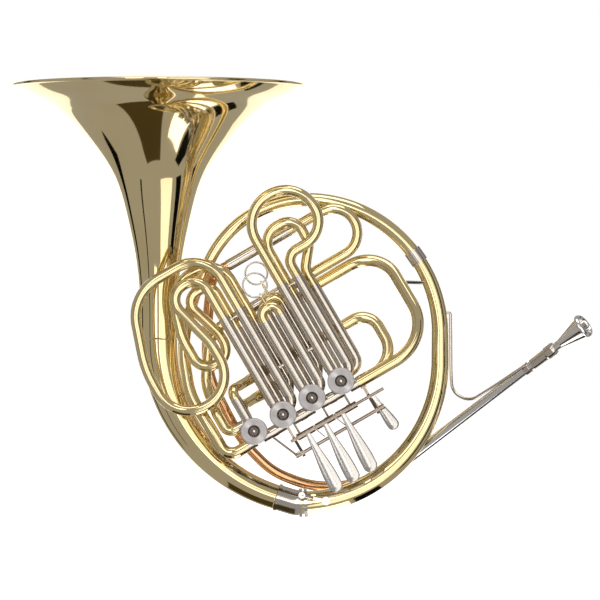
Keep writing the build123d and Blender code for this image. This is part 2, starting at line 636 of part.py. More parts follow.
for place, (name, side, pin_angle) in enumerate(CRANKS):
    u = VALVE_US[place]
    turn = radians(pin_angle)
    fin_angle = 135 if side < 0 or place == 0 else 45
    fin_turn = radians(fin_angle)
    with BuildPart() as stop_arm:
        top = STOP_ARM_BACK + STOP_ARM_THICKNESS
        add_pin(at(u, 0, STOP_ARM_BACK), at(u, 0, top), STOP_ARM_RADIUS)
        with BuildSketch(cluster_plane(STOP_ARM_BACK)) as fin:
            with BuildLine():
                Line((u, 0), (u + FIN_REACH * cos(fin_turn), FIN_REACH * sin(fin_turn)))
            trace(line_width=FIN_WIDTH)
        extrude(fin.sketch, amount=STOP_ARM_THICKNESS)
        pin_u = u + CRANK_RADIUS * cos(turn)
        pin_v = CRANK_RADIUS * sin(turn)
        add_pin(at(pin_u, pin_v, LINK_W - 2.2), at(pin_u, pin_v, STOP_ARM_BACK + 0.5),
                CRANK_PIN_RADIUS)
        add_pin(at(u, 0, STOP_ARM_BACK - 2), at(u, 0, top + 1), JOURNAL_RADIUS + SOLDER_GAP,
                mode=Mode.SUBTRACT)
    write_part(stop_arm, f"{name}_stop_arm")

# Name, u of the paddle's root, first and last u of the barrel, u of the link, its valve's place.
LEVERS = (("third_lever", -5.0, -16.5, 3.5, VALVE_US[1] + crank_middle, 1),
          ("second_lever", 15.5, 5.5, 27.5, VALVE_US[2] + crank_middle, 2),
          ("first_lever", 36.6, 29.5, 54.0, VALVE_US[3] - crank_middle, 3))


def add_paddle(root_u, root_v, depth, length, width, stem, lean):
    """A spoon-shaped paddle: a stem that widens to a round end, leaning off the v axis."""
    end = width / 2
    turn = radians(lean)
    across = at(cos(turn), sin(turn), 0) - at(0, 0, 0)
    with BuildSketch(Plane(origin=at(root_u, root_v, depth), x_dir=across,
                           z_dir=(0, -1, 0))) as outline:
        with BuildLine():
            Spline((-stem / 2, 0), (-stem / 2 - 0.1, -length * 0.25),
                   (-end, end - length), tangents=[(0, -1), (0, -1)])
            ThreePointArc((-end, end - length), (0, -length), (end, end - length))
            Spline((end, end - length), (stem / 2 + 0.1, -length * 0.25),
                   (stem / 2, 0), tangents=[(0, 1), (0, 1)])
            Line((stem / 2, 0), (-stem / 2, 0))
        make_face()
    extrude(outline.sketch, amount=PADDLE_THICKNESS)


def add_arm(link_u, hinge_v, hinge_w, boss, side):
    """The arm from a hinge back to the link, on one side of it, with the pin for the link."""
    middle = link_u + side * (LINK_THICKNESS / 2 + 0.3 + ARM_THICKNESS / 2)
    start = middle - ARM_THICKNESS / 2
    with BuildSketch(across_plane(start, 0, 0)) as arm:
        with BuildLine():
            Line((hinge_v, hinge_w), (hinge_v, LINK_W))
        trace(line_width=2 * boss - 1.2)
        with Locations((hinge_v, LINK_W)):
            Circle(boss)
    extrude(arm.sketch, amount=ARM_THICKNESS)
    add_pin(at(middle, hinge_v, LINK_W),
            at(link_u - side * (LINK_THICKNESS / 2 + 0.6), hinge_v, LINK_W), CRANK_PIN_RADIUS)


for name, root_u, first, last, link_u, place in LEVERS:
    with BuildPart() as lever:
        add_pin(at(first, HINGE_V, HINGE_W), at(last, HINGE_V, HINGE_W), BARREL_RADIUS)
        add_paddle(root_u, HINGE_V + 1.5, HINGE_W + 0.8, 70.5, 14.4, 4.6, -2.0)
        add_arm(link_u, HINGE_V, HINGE_W, 3.2, -1)
        add_pin(at(first - 1, HINGE_V, HINGE_W), at(last + 1, HINGE_V, HINGE_W),
                HINGE_ROD_RADIUS + HINGE_GAP, mode=Mode.SUBTRACT)
    write_part(lever, name)

THUMB_LEFT = -28.0
thumb_link_u = THUMB_LEFT + LINK_THICKNESS / 2
with BuildPart() as thumb_lever:
    add_pin(at(THUMB_LEFT, THUMB_V, THUMB_W), at(76, THUMB_V, THUMB_W), THUMB_ROD_RADIUS)
    add_pin(at(72, THUMB_V, THUMB_W), at(78, THUMB_V, THUMB_W), 3.0)
    add_paddle(72.6, THUMB_V + 13, THUMB_W - 1, 40.0, 11.5, 5.0, 6.0)
    add_arm(thumb_link_u, THUMB_V, THUMB_W, 3.0, 1)
write_part(thumb_lever, "thumb_lever")

LINKS = [("change_valve", thumb_link_u, THUMB_V, VALVE_US[0] + crank_middle, crank_height)]
for name, root_u, first, last, link_u, place in LEVERS:
    LINKS.append((VALVES[place], link_u, HINGE_V, link_u, -crank_height))
slot_half = CRANK_RADIUS * (1 - cos(pi / 4)) / 2 + 0.12
for name, eye_u, eye_v, end_u, end_v in LINKS:
    with BuildPart() as link:
        start = eye_u - LINK_THICKNESS / 2
        add_pin(at(start, eye_v, LINK_W), at(start + LINK_THICKNESS, eye_v, LINK_W), 2.8)
        add_pin(at(eye_u, eye_v, LINK_W), at(end_u, end_v, LINK_W), 1.1)
        with BuildSketch(cluster_plane(LINK_W - 0.9)) as plate:
            with Locations((end_u, end_v)):
                SlotCenterToCenter(2 * slot_half, 2 * (CRANK_PIN_RADIUS + CRANK_PIN_GAP) + 3.4)
        extrude(plate.sketch, amount=1.8)
        with BuildSketch(cluster_plane(LINK_W - 3)) as slot:
            with Locations((end_u, end_v)):
                SlotCenterToCenter(2 * slot_half, 2 * (CRANK_PIN_RADIUS + CRANK_PIN_GAP))
        extrude(slot.sketch, amount=6, mode=Mode.SUBTRACT)
        add_pin(at(start - 1, eye_v, LINK_W), at(start + LINK_THICKNESS + 1, eye_v, LINK_W),
                CRANK_PIN_RADIUS + LINK_PIN_GAP, mode=Mode.SUBTRACT)
    write_part(link, f"{name}_link")

with BuildPart() as lever_rod:
    add_pin(at(-24.5, HINGE_V, HINGE_W), at(86, HINGE_V, HINGE_W), HINGE_ROD_RADIUS)
write_part(lever_rod, "lever_rod")

# Posts that carry the rods: the left one stands on the third valve, the right one on the loops.
LEFT_POST = -21.5
RIGHT_POST = 67.5
POST_THICKNESS = 3.0
with BuildPart() as lever_posts:
    for start, foot_v in ((LEFT_POST, -12.0), (RIGHT_POST, -17.5)):
        with BuildSketch(across_plane(start, 0, 0)) as post:
            with BuildLine():
                Line((foot_v, 39), (HINGE_V, HINGE_W))
                Line((HINGE_V, HINGE_W), (THUMB_V, THUMB_W))
            trace(line_width=3.4)
            with Locations((HINGE_V, HINGE_W)):
                Circle(3.4)
            with Locations((THUMB_V, THUMB_W)):
                Circle(4.2)
        extrude(post.sketch, amount=POST_THICKNESS)
        add_pin(at(start - 1, HINGE_V, HINGE_W), at(start + 5, HINGE_V, HINGE_W),
                HINGE_ROD_RADIUS + SOLDER_GAP, mode=Mode.SUBTRACT)
        add_pin(at(start - 1, THUMB_V, THUMB_W), at(start + 5, THUMB_V, THUMB_W),
                THUMB_ROD_RADIUS + HINGE_GAP, mode=Mode.SUBTRACT)
    with BuildSketch(across_plane(RIGHT_POST - 1.5, 0, 0)) as saddle:
        with Locations(((-16.0, (FRONT + MIDDLE) / 2))):
            Rectangle(5.0, FRONT - MIDDLE)
    extrude(saddle.sketch, amount=POST_THICKNESS + 3)
    add_pin(at(VALVE_US[1], 0, CASING_BACK), at(VALVE_US[1], 0, CASING_FRONT),
            CASING_RADIUS + SOLDER_GAP, mode=Mode.SUBTRACT)
    add_pin(at(62, RUN_V, FRONT), at(76, RUN_V, FRONT), LOOP_RADIUS + SOLDER_GAP,
            mode=Mode.SUBTRACT)
    add_pin(at(62, RUN_V, MIDDLE), at(76, RUN_V, MIDDLE), SLEEVE_RADIUS + SOLDER_GAP,
            mode=Mode.SUBTRACT)
    for level in (FRONT, MIDDLE):
        add_pin(at(VALVE_US[1] - 16, RUN_V, level), at(VALVE_US[1] + 16, RUN_V, level),
                STUB_RADIUS + SOLDER_GAP, mode=Mode.SUBTRACT)
write_part(lever_posts, "lever_posts")

with BuildPart() as lever_springs:
    for start in (3.9, 27.9):
        add_pin(at(start, HINGE_V, HINGE_W), at(start + 1.2, HINGE_V, HINGE_W), 3.0)
        add_pin(at(start + 0.6, HINGE_V - 2.4, HINGE_W), at(start + 4.6, HINGE_V - 13, HINGE_W - 5),
                SPRING_WIRE)
        add_pin(at(start - 1, HINGE_V, HINGE_W), at(start + 3, HINGE_V, HINGE_W),
                HINGE_ROD_RADIUS + SOLDER_GAP, mode=Mode.SUBTRACT)
write_part(lever_springs, "lever_springs")

# ================================================================ leadpipe
rise = radians(LEAD_RISE_ANGLE)
tilt = radians(LEAD_TILT)
lead_heading = Vector(cos(tilt) * cos(rise), -sin(tilt), cos(tilt) * sin(rise))
lead_start = Vector(*LEAD_START)
lead_side = Vector(-sin(rise), 0, cos(rise))
lead_axis = Axis(lead_start, lead_heading)
lead_profile = Plane(origin=lead_start, x_dir=lead_side, z_dir=lead_side.cross(lead_heading))


def lead_radius(reach):
    """Outer radius of the leadpipe at a distance along it."""
    return LEAD_START_RADIUS + (LEAD_END_RADIUS - LEAD_START_RADIUS) * reach / LEAD_LENGTH


def shank_radius(reach):
    """Outer radius of the mouthpiece's tapered shank at a distance along the leadpipe."""
    share = (reach - SHANK_TIP) / (SHANK_TOP - SHANK_TIP)
    return SHANK_TIP_RADIUS + (SHANK_TOP_RADIUS - SHANK_TIP_RADIUS) * share


with BuildPart() as leadpipe:
    with BuildSketch(lead_profile) as profile:
        Polygon((LEAD_START_RADIUS, 0), (LEAD_END_RADIUS, LEAD_LENGTH),
                (LEAD_END_RADIUS - TUBE_WALL, LEAD_LENGTH), (LEAD_START_RADIUS - TUBE_WALL, 0),
                align=None)
    revolve(profile.sketch, axis=lead_axis)
write_part(leadpipe, "leadpipe")

with BuildPart() as mouthpiece_receiver:
    with BuildSketch(lead_profile) as profile:
        with BuildLine():
            socket_end = LEAD_LENGTH + 0.1
            Polyline((lead_radius(RECEIVER_START) + SHANK_GAP, RECEIVER_START),
                     (RECEIVER_RADIUS - 0.6, RECEIVER_START),
                     (RECEIVER_RADIUS - 0.3, RECEIVER_START + 18),
                     (RECEIVER_RADIUS + 0.7, RECEIVER_START + 20),
                     (RECEIVER_RADIUS + 0.7, RECEIVER_END - 2),
                     (RECEIVER_RADIUS, RECEIVER_END),
                     (shank_radius(RECEIVER_END) + SHANK_GAP, RECEIVER_END),
                     (shank_radius(socket_end) + SHANK_GAP, socket_end),
                     (LEAD_END_RADIUS + SHANK_GAP, socket_end), close=True)
        make_face()
    revolve(profile.sketch, axis=lead_axis)
write_part(mouthpiece_receiver, "mouthpiece_receiver")

with BuildPart() as mouthpiece:
    with BuildSketch(lead_profile) as profile:
        with BuildLine():
            cup_foot = SHANK_TOP + 3
            shank = Line((SHANK_TIP_RADIUS, SHANK_TIP), (SHANK_TOP_RADIUS, SHANK_TOP))
            body = Spline(shank @ 1, (6.2, cup_foot + 3), (9.6, RIM_END - 14),
                          (11.8, RIM_END - 5.5))
            lip = Spline(body @ 1, (RIM_RADIUS, RIM_END - 2.6), (11.6, RIM_END),
                         (9.0, RIM_END - 2.2))
            cup = Spline(lip @ 1, (7.0, RIM_END - 12), (2.2, cup_foot))
            bore = Line(cup @ 1, (SHANK_TIP_RADIUS - 0.7, SHANK_TIP))
            Line(bore @ 1, shank @ 0)
        make_face()
    revolve(profile.sketch, axis=lead_axis)
write_part(mouthpiece, "mouthpiece")

with BuildPart() as leadpipe_extension:
    extension_points = [lead_start - lead_heading * 0.1, lead_start - lead_heading * 26,
                        Vector(206, 26, -420.5), Vector(160, 20, -422), Vector(118, 12, -405.5),
                        Vector(91, 6, -378), at(-69, 18, -1), at(-66, 75, -2), at(-40, 120, 0),
                        at(-9, TUNING_TOP_V, REAR), at(TUNING_SLEEVE_START + 6, TUNING_TOP_V, REAR)]
    add_tube(extension_points, easy_bends(extension_points), STUB_RADIUS, STUB_RADIUS - TUBE_WALL)
write_part(leadpipe_extension, "leadpipe_extension")

with BuildPart() as s_brace:
    clamp = lead_start + lead_heading * CLAMP_REACH
    clamp_side = (lead_side + lead_heading.cross(lead_side)).normalized()
    side_radius = BRANCH_MID_RADIUS + 0.95
    foot = ring_point(shoulder_centre, SHOULDER_BEND + side_radius, 8.2)
    brace_points = [foot, foot + Vector(3.4, 0, 0), Vector(304.8, 0, -262), Vector(305, -1, -300),
                    Vector(306, -6, -322), Vector(324, -17, -331), Vector(350, -33, -314),
                    clamp + clamp_side * (lead_radius(CLAMP_REACH) + 1.0)]
    add_tube(brace_points, [2.0, *easy_bends(brace_points)[1:]], 1.6)
    add_pin(clamp - lead_heading * 3, clamp + lead_heading * 3, lead_radius(CLAMP_REACH) + 1.2)
    add_pin(clamp - lead_heading * 12, clamp + lead_heading * 12,
            lead_radius(CLAMP_REACH - 12) + SOLDER_GAP, mode=Mode.SUBTRACT)
write_part(s_brace, "s_brace")

# ================================================================ water key
key_place = ring_point(RING_CENTRE, RING_BEND, KEY_ANGLE)
key_front = BRANCH_START_RADIUS
with BuildPart() as water_key_mount:
    seat = key_place + Vector(0, -key_front - KEY_SEAT, 0)
    pivot = key_place + Vector(-KEY_PIVOT_REACH, -key_front - KEY_PIVOT_HEIGHT, KEY_PIVOT_RISE)
    add_pin(key_place + Vector(0, -key_front + 3, 0), seat, 3.4)
    for side in (-1, 1):
        post = pivot + Vector(0, 0, side * 3.4)
        with BuildSketch(Plane.XZ.offset(key_front - 5)) as lug:
            with Locations((post.X, post.Z)):
                Rectangle(5.0, 1.6)
        extrude(lug.sketch, amount=10.5)
    add_pin(pivot + Vector(0, 0, -5), pivot + Vector(0, 0, 5), 0.9)
    with BuildSketch(Plane(origin=(RING_CENTRE[0], 0, RING_CENTRE[1]), x_dir=(1, 0, 0),
                           z_dir=(0, 0, 1))) as branch_cut:
        with Locations((RING_BEND, 0)):
            Circle(key_front - 0.02)
    revolve(branch_cut.sketch, axis=Axis((RING_CENTRE[0], 0, RING_CENTRE[1]), (0, 1, 0)),
            mode=Mode.SUBTRACT)
    add_pin(key_place + Vector(0, -key_front + 4, 0), seat + Vector(0, -0.5, 0), 1.6,
            mode=Mode.SUBTRACT)
write_part(water_key_mount, "water_key_mount")

with BuildPart() as water_key:
    add_pin(seat + Vector(0, -1.2, 0), seat + Vector(0, -4.0, 0), 4.4)
    with BuildSketch(Plane.XZ.offset(key_front + KEY_ARM_HEIGHT)) as arm:
        with BuildLine():
            Line((key_place.X, key_place.Z), (pivot.X, pivot.Z))
        trace(line_width=3.2)
    extrude(arm.sketch, amount=KEY_ARM_THICKNESS)
    # The touch stands off the branch, so that the key can open fully.
    touch = key_place + Vector(-KEY_PIVOT_REACH - KEY_TOUCH_REACH, -key_front - KEY_TOUCH_HEIGHT,
                               KEY_PIVOT_RISE + 3.5)
    add_pin(pivot + Vector(0, -0.8, 0), touch, 1.5)
    half_touch = Vector(0, KEY_ARM_THICKNESS / 2, 0)
    add_pin(touch + half_touch, touch - half_touch, KEY_TOUCH_RADIUS)
    add_pin(pivot + Vector(0, 0, -2.2), pivot + Vector(0, 0, 2.2), 2.0)
    add_pin(pivot + Vector(0, 0, -3), pivot + Vector(0, 0, 3), 0.9 + HINGE_GAP,
            mode=Mode.SUBTRACT)
write_part(water_key, "water_key")

with BuildPart() as water_key_cork:
    add_pin(seat + Vector(0, -0.05, 0), seat + Vector(0, -1.18, 0), 3.8)
write_part(water_key_cork, "water_key_cork")

# ================================================================ braces
loop_run = at(0, -1, -0.42) - at(0, 0, 0)
return_run = at(0, 1, -0.2) - at(0, 0, 0)
shoulder_run = Vector(-sin(radians(22)), 0, cos(radians(22)))
tail_run = Vector(-sin(radians(199)), 0, cos(radians(199)))
# Each end: a point on a tube's own axis, the way the tube runs there and its outer radius.
BODY_BRACES = (
    ((at(156, 58, 18.2), loop_run, LOOP_RADIUS),
     (ring_point(shoulder_centre, SHOULDER_BEND, 22), shoulder_run, 8.5)),
    ((at(-91, 66, 21), return_run, SLEEVE_RADIUS),
     (ring_point(tail_centre, TAIL_BEND, 199), tail_run, 17.9)),
)
with BuildPart() as brace_stock:
    for (start, start_run, start_radius), (end, end_run, end_radius) in BODY_BRACES:
        heading = (end - start).normalized()
        start_slant = sin(radians(heading.get_angle(start_run)))
        end_slant = sin(radians(heading.get_angle(end_run)))
        add_pin(start + heading * (start_radius / start_slant - 0.1),
                end - heading * (end_radius / end_slant - 0.1), 1.8)
    for left, right, height in ((0, 1, 112), (1, 2, 44), (3, 4, 44), (4, 5, 112)):
        left_u, right_u = FRONT_LEGS[left], FRONT_LEGS[right]
        gap_start = left_u + SLEEVE_RADIUS - 1.2
        gap_end = right_u - SLEEVE_RADIUS + 1.2
        add_pin(at(gap_start, height, FRONT), at(gap_end, height, FRONT), BRACE_RADIUS)
        add_pin(at(gap_start, height, FRONT), at(gap_start + 1.8, height, FRONT), BRACE_FOOT)
        add_pin(at(gap_end - 1.8, height, FRONT), at(gap_end, height, FRONT), BRACE_FOOT)
        for u in (left_u, right_u):
            add_pin(at(u, height - 9, FRONT), at(u, height + 5, FRONT),
                    SLEEVE_RADIUS + SOLDER_GAP, mode=Mode.SUBTRACT)
    for neighbour in (large_loop, main_branch, branch_return, bell_tail):
        add(neighbour.part, mode=Mode.SUBTRACT)

with BuildPart() as braces:
    # Only whole braces are kept, not the chips cut from their ends inside the tubes.
    for piece in brace_stock.solids():
        if piece.volume > SMALLEST_BRACE:
            add(piece)
write_part(braces, "braces")
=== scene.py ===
"""Looks of a double french horn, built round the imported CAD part.

Metres, in the part's own frame: +Z up out of the bell, -Y towards the valves' caps.
"""
import json
import math

import bpy
import numpy as np
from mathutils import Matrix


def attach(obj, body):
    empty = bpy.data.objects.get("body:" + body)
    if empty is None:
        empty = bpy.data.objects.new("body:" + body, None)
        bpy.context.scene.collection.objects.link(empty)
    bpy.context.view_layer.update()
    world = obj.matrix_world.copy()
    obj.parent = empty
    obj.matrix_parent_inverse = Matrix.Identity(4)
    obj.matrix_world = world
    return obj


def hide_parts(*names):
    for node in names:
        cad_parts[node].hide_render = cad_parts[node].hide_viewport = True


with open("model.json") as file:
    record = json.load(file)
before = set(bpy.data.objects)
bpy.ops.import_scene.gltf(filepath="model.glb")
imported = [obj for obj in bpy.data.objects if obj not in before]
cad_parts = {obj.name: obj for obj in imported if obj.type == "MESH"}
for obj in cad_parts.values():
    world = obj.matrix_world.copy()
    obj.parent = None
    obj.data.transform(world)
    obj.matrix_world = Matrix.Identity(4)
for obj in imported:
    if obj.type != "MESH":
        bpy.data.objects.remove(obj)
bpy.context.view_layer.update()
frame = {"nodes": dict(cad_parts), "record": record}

MM = 0.001

# ---------------------------------------------------------------- sizes, in millimetres
# The bell's outline as (radius, height), from the centre of its rim bead down to the throat.
BELL_WALL = 0.6
BEAD = 1.7
RIM = (153.3, -1.7)
RIM_OVERLAP = 1.5
FLARE = [RIM, (134.0, -13.0), (112.5, -23.5), (95.5, -36.0), (67.0, -67.0),
         (46.7, -97.5), (34.0, -137.0), (24.5, -182.0), (20.9, -216.0), (19.8, -266.0)]
# The big ring: centres as (x, z), bends and angles in the plane of the ring, tube radii.
TAIL_CENTRE = (173.0, -266.0)
TAIL_BEND = 173.0
TAIL_END = 253
TAIL_RADII = (19.8, 18.6, 17.3, 16.0, 14.8, 13.7, 12.9)
RING_CENTRE = (146.0, -290.0)
RING_BEND = 147.5
BRANCH_RADII = (12.0, 8.0)
SHOULDER_CENTRE = (154.0, -260.0)
SHOULDER_BEND = 139.5
SHOULDER_FERRULE = 35
CROWN_CENTRE = (154.0, -232.5)
CROWN_BEND = 112.0
CROWN_END = 155
CROWN_RADII = (7.8, 6.4)
# The valves stand in a row that slopes across the ring.
VALVE_PITCH = 34.5
CAP_FACE = 63.0
CLUSTER_ORIGIN = (144.6, 0.0, -334.9)
CLUSTER_SLOPE = math.radians(30.0)


def at(u, v, w):
    """Points of the valve cluster's frame (u along the valves, v along the slides, w forward)."""
    u, v, w = np.broadcast_arrays(u, v, w)
    cosine, sine = math.cos(CLUSTER_SLOPE), math.sin(CLUSTER_SLOPE)
    return np.stack([CLUSTER_ORIGIN[0] + u * cosine - v * sine, -w * 1.0,
                     CLUSTER_ORIGIN[2] + u * sine + v * cosine], axis=-1)


# ---------------------------------------------------------------- surfaces
def spline(points, count):
    """Natural cubic spline through flat points, by chord length, sampled evenly."""
    points = np.asarray(points, float)
    knots = np.concatenate([[0], np.cumsum(np.linalg.norm(np.diff(points, axis=0), axis=1))])
    step = np.diff(knots)
    size = len(points)
    matrix = np.eye(size)
    inner = np.arange(1, size - 1)
    matrix[inner, inner - 1] = step[:-1]
    matrix[inner, inner] = 2 * (step[:-1] + step[1:])
    matrix[inner, inner + 1] = step[1:]
    right = np.zeros_like(points)
    slope = np.diff(points, axis=0) / step[:, None]
    right[1:-1] = 6 * np.diff(slope, axis=0)
    bend = np.linalg.solve(matrix, right)
    t = np.linspace(0, knots[-1], count)
    k = np.clip(np.searchsorted(knots, t, side="right") - 1, 0, size - 2)
    a = ((knots[k + 1] - t) / step[k])[:, None]
    b = 1 - a
    h = (step[k] ** 2)[:, None]
    return (a * points[k] + b * points[k + 1]
            + ((a ** 3 - a) * bend[k] + (b ** 3 - b) * bend[k + 1]) * h / 6)


def surface(name, points, material, body, close_rows=False, poles=False):
    """A mesh from a grid of points in millimetres whose columns run right round.

    Rows may close on themselves, or end in a pole at the mean of the first and the last row.
    """
    rows, columns = points.shape[:2]
    vertices = points.reshape(-1, 3)
    row = np.arange(rows if close_rows else rows - 1)
    column = np.arange(columns)
    row, column = [grid.ravel() for grid in np.meshgrid(row, column, indexing="ij")]
    below, beside = (row + 1) % rows, (column + 1) % columns
    quads = np.stack([row * columns + column, row * columns + beside,
                      below * columns + beside, below * columns + column], axis=1)
    share_along = np.stack([row, row, row + 1, row + 1], axis=1) / rows
    share_round = np.stack([column, column + 1, column + 1, column], axis=1) / columns
    loops = quads.ravel()
    coordinates = np.stack([share_round.ravel(), share_along.ravel()], axis=1)
    starts = np.arange(len(quads)) * 4
    if poles:
        first, last = len(vertices), len(vertices) + 1
        vertices = np.vstack([vertices, points[0].mean(axis=0), points[-1].mean(axis=0)])
        ring = np.arange(columns)
        following = (ring + 1) % columns
        base = (rows - 1) * columns
        top_fan = np.stack([np.full(columns, first), following, ring], axis=1)
        end_fan = np.stack([np.full(columns, last), base + ring, base + following], axis=1)
        fans = np.vstack([top_fan, end_fan])
        starts = np.concatenate([starts, len(loops) + np.arange(len(fans)) * 3])
        loops = np.concatenate([loops, fans.ravel()])
        coordinates = np.vstack([coordinates, np.zeros((fans.size, 2))])
    mesh = bpy.data.meshes.new(name)
    mesh.vertices.add(len(vertices))
    mesh.vertices.foreach_set("co", (vertices * MM).astype(np.float32).ravel())
    mesh.loops.add(len(loops))
    mesh.loops.foreach_set("vertex_index", loops.astype(np.int32))
    mesh.polygons.add(len(starts))
    mesh.polygons.foreach_set("loop_start", starts.astype(np.int32))
    mesh.polygons.foreach_set("use_smooth", np.ones(len(starts), bool))
    layer = mesh.uv_layers.new(name="UVMap")
    layer.data.foreach_set("uv", coordinates.astype(np.float32).ravel())
    mesh.update(calc_edges=True)
    mesh.validate()
    piece = bpy.data.objects.new(name, mesh)
    bpy.context.scene.collection.objects.link(piece)
    mesh.materials.append(material)
    if body:
        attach(piece, body)
    return piece


def lathe(profile, centre, axis, columns):
    """Points of a profile of (radius, height) turned about an axis through a centre."""
    axis = np.asarray(axis, float) / np.linalg.norm(axis)
    helper = np.array([0.0, 1.0, 0.0]) if abs(axis[1]) < 0.9 else np.array([1.0, 0.0, 0.0])
    first = np.cross(helper, axis)
    first /= np.linalg.norm(first)
    second = np.cross(axis, first)
    angle = np.linspace(0, 2 * math.pi, columns, endpoint=False)
    spoke = np.cos(angle)[:, None] * first + np.sin(angle)[:, None] * second
    profile = np.asarray(profile, float)
    return (np.asarray(centre) + profile[:, 0, None, None] * spoke[None]
            + profile[:, 1, None, None] * axis)


def arc(centre, bend, start, end, count):
    """Points on an arc in the plane of the big ring, between two angles in degrees."""
    angle = np.radians(np.linspace(start, end, count))
    return np.stack([centre[0] + bend * np.cos(angle), np.zeros(count),
                     centre[1] + bend * np.sin(angle)], axis=1)


def ring_tube(path, radii, columns):
    """A round tube along a path in the plane of the big ring, with a radius at each point."""
    heading = np.gradient(path, axis=0)
    heading /= np.linalg.norm(heading, axis=1)[:, None]
    across = np.array([0.0, 1.0, 0.0])
    other = np.cross(across, heading)
    angle = np.linspace(0, 2 * math.pi, columns, endpoint=False)
    spoke = (np.cos(angle)[None, :, None] * across
             + np.sin(angle)[None, :, None] * other[:, None, :])
    return path[:, None, :] + np.asarray(radii)[:, None, None] * spoke


def smooth(share):
    """An even step from 0 to 1."""
    share = np.clip(share, 0, 1)
    return share * share * (3 - 2 * share)


# ---------------------------------------------------------------- shader groups
def new_group(name, inputs, outputs):
    """An empty shader node group with named float, colour or vector sockets."""
    kinds = {"float": "NodeSocketFloat", "colour": "NodeSocketColor", "vector": "NodeSocketVector"}
    group = bpy.data.node_groups.new(name, "ShaderNodeTree")
    for label, kind, value in inputs:
        socket = group.interface.new_socket(name=label, in_out="INPUT", socket_type=kinds[kind])
        if value is not None:
            socket.default_value = value
    for label, kind in outputs:
        group.interface.new_socket(name=label, in_out="OUTPUT", socket_type=kinds[kind])
    return group, group.nodes.new("NodeGroupInput"), group.nodes.new("NodeGroupOutput")


def calculate(tree, operation, *values):
    """A math node whose inputs are sockets or numbers."""
    node = tree.nodes.new("ShaderNodeMath")
    node.operation = operation
    for index, value in enumerate(values):
        if isinstance(value, (int, float)):
            node.inputs[index].default_value = value
        else:
            tree.links.new(value, node.inputs[index])
    return node.outputs[0]


def noise(tree, vector, scale, detail):
    """A noise texture's value at a vector."""
    node = tree.nodes.new("ShaderNodeTexNoise")
    tree.links.new(vector, node.inputs["Vector"])
    if isinstance(scale, (int, float)):
        node.inputs["Scale"].default_value = scale
    else:
        tree.links.new(scale, node.inputs["Scale"])
    node.inputs["Detail"].default_value = detail
    return node.outputs["Fac"]


def polish_group():
    """Roughness that varies in soft clouds and fine wipe marks, and a faint height."""
    group, given, result = new_group(
        "Polish", [("Vector", "vector", None), ("Roughness", "float", 0.1),
                   ("Spread", "float", 0.05), ("Mark Scale", "float", 900.0)],
        [("Roughness", "float"), ("Height", "float")])
    clouds = noise(group, given.outputs["Vector"], 22.0, 3.0)
    marks = noise(group, given.outputs["Vector"], given.outputs["Mark Scale"], 2.0)
    both = calculate(group, "ADD", calculate(group, "MULTIPLY", clouds, 0.7),
                     calculate(group, "MULTIPLY", marks, 0.3))
    offset = calculate(group, "MULTIPLY", calculate(group, "SUBTRACT", both, 0.5),
                       given.outputs["Spread"])
    group.links.new(calculate(group, "ADD", given.outputs["Roughness"], offset),
                    result.inputs["Roughness"])
    group.links.new(both, result.inputs["Height"])
    return group


def tone_group():
    """A base colour that drifts slowly towards a second tone over the surface."""
    group, given, result = new_group(
        "Tone", [("Vector", "vector", None), ("Colour", "colour", (0.8, 0.6, 0.3, 1)),
                 ("Deep Colour", "colour", (0.6, 0.4, 0.2, 1)), ("Amount", "float", 0.5)],
        [("Colour", "colour")])
    drift = noise(group, given.outputs["Vector"], 9.0, 4.0)
    share = calculate(group, "MULTIPLY", smooth_share(group, drift, 0.4, 0.7),
                      given.outputs["Amount"])
    mix = group.nodes.new("ShaderNodeMix")
    mix.data_type = "RGBA"
    group.links.new(share, mix.inputs["Factor"])
    group.links.new(given.outputs["Colour"], mix.inputs[6])
    group.links.new(given.outputs["Deep Colour"], mix.inputs[7])
    group.links.new(mix.outputs[2], result.inputs["Colour"])
    return group


def smooth_share(tree, value, low, high):
    """A smooth step of a value between two limits."""
    node = tree.nodes.new("ShaderNodeMapRange")
    node.interpolation_type = "SMOOTHSTEP"
    tree.links.new(value, node.inputs["Value"])
    node.inputs["From Min"].default_value = low
    node.inputs["From Max"].default_value = high
    return node.outputs["Result"]


def turned_group():
    """Fine concentric tool marks: a wave of the distance along a turned profile."""
    group, given, result = new_group(
        "Turned", [("Distance", "float", 0.0), ("Count", "float", 60.0)], [("Height", "float")])
    phase = calculate(group, "MULTIPLY", given.outputs["Distance"], given.outputs["Count"])
    wave = calculate(group, "SINE", calculate(group, "MULTIPLY", phase, 2 * math.pi))
    group.links.new(calculate(group, "MULTIPLY_ADD", wave, 0.5, 0.5), result.inputs["Height"])
    return group


GROUPS = {"polish": polish_group(), "tone": tone_group(), "turned": turned_group()}


def use_group(tree, name, **values):
    """A node of one of the groups, with numbers or links on its named inputs."""
    node = tree.nodes.new("ShaderNodeGroup")
    node.node_tree = GROUPS[name]
    for label, value in values.items():
        socket = node.inputs[label.replace("_", " ")]
        if isinstance(value, bpy.types.NodeSocket):
            tree.links.new(value, socket)
        else:
            socket.default_value = value
    return node


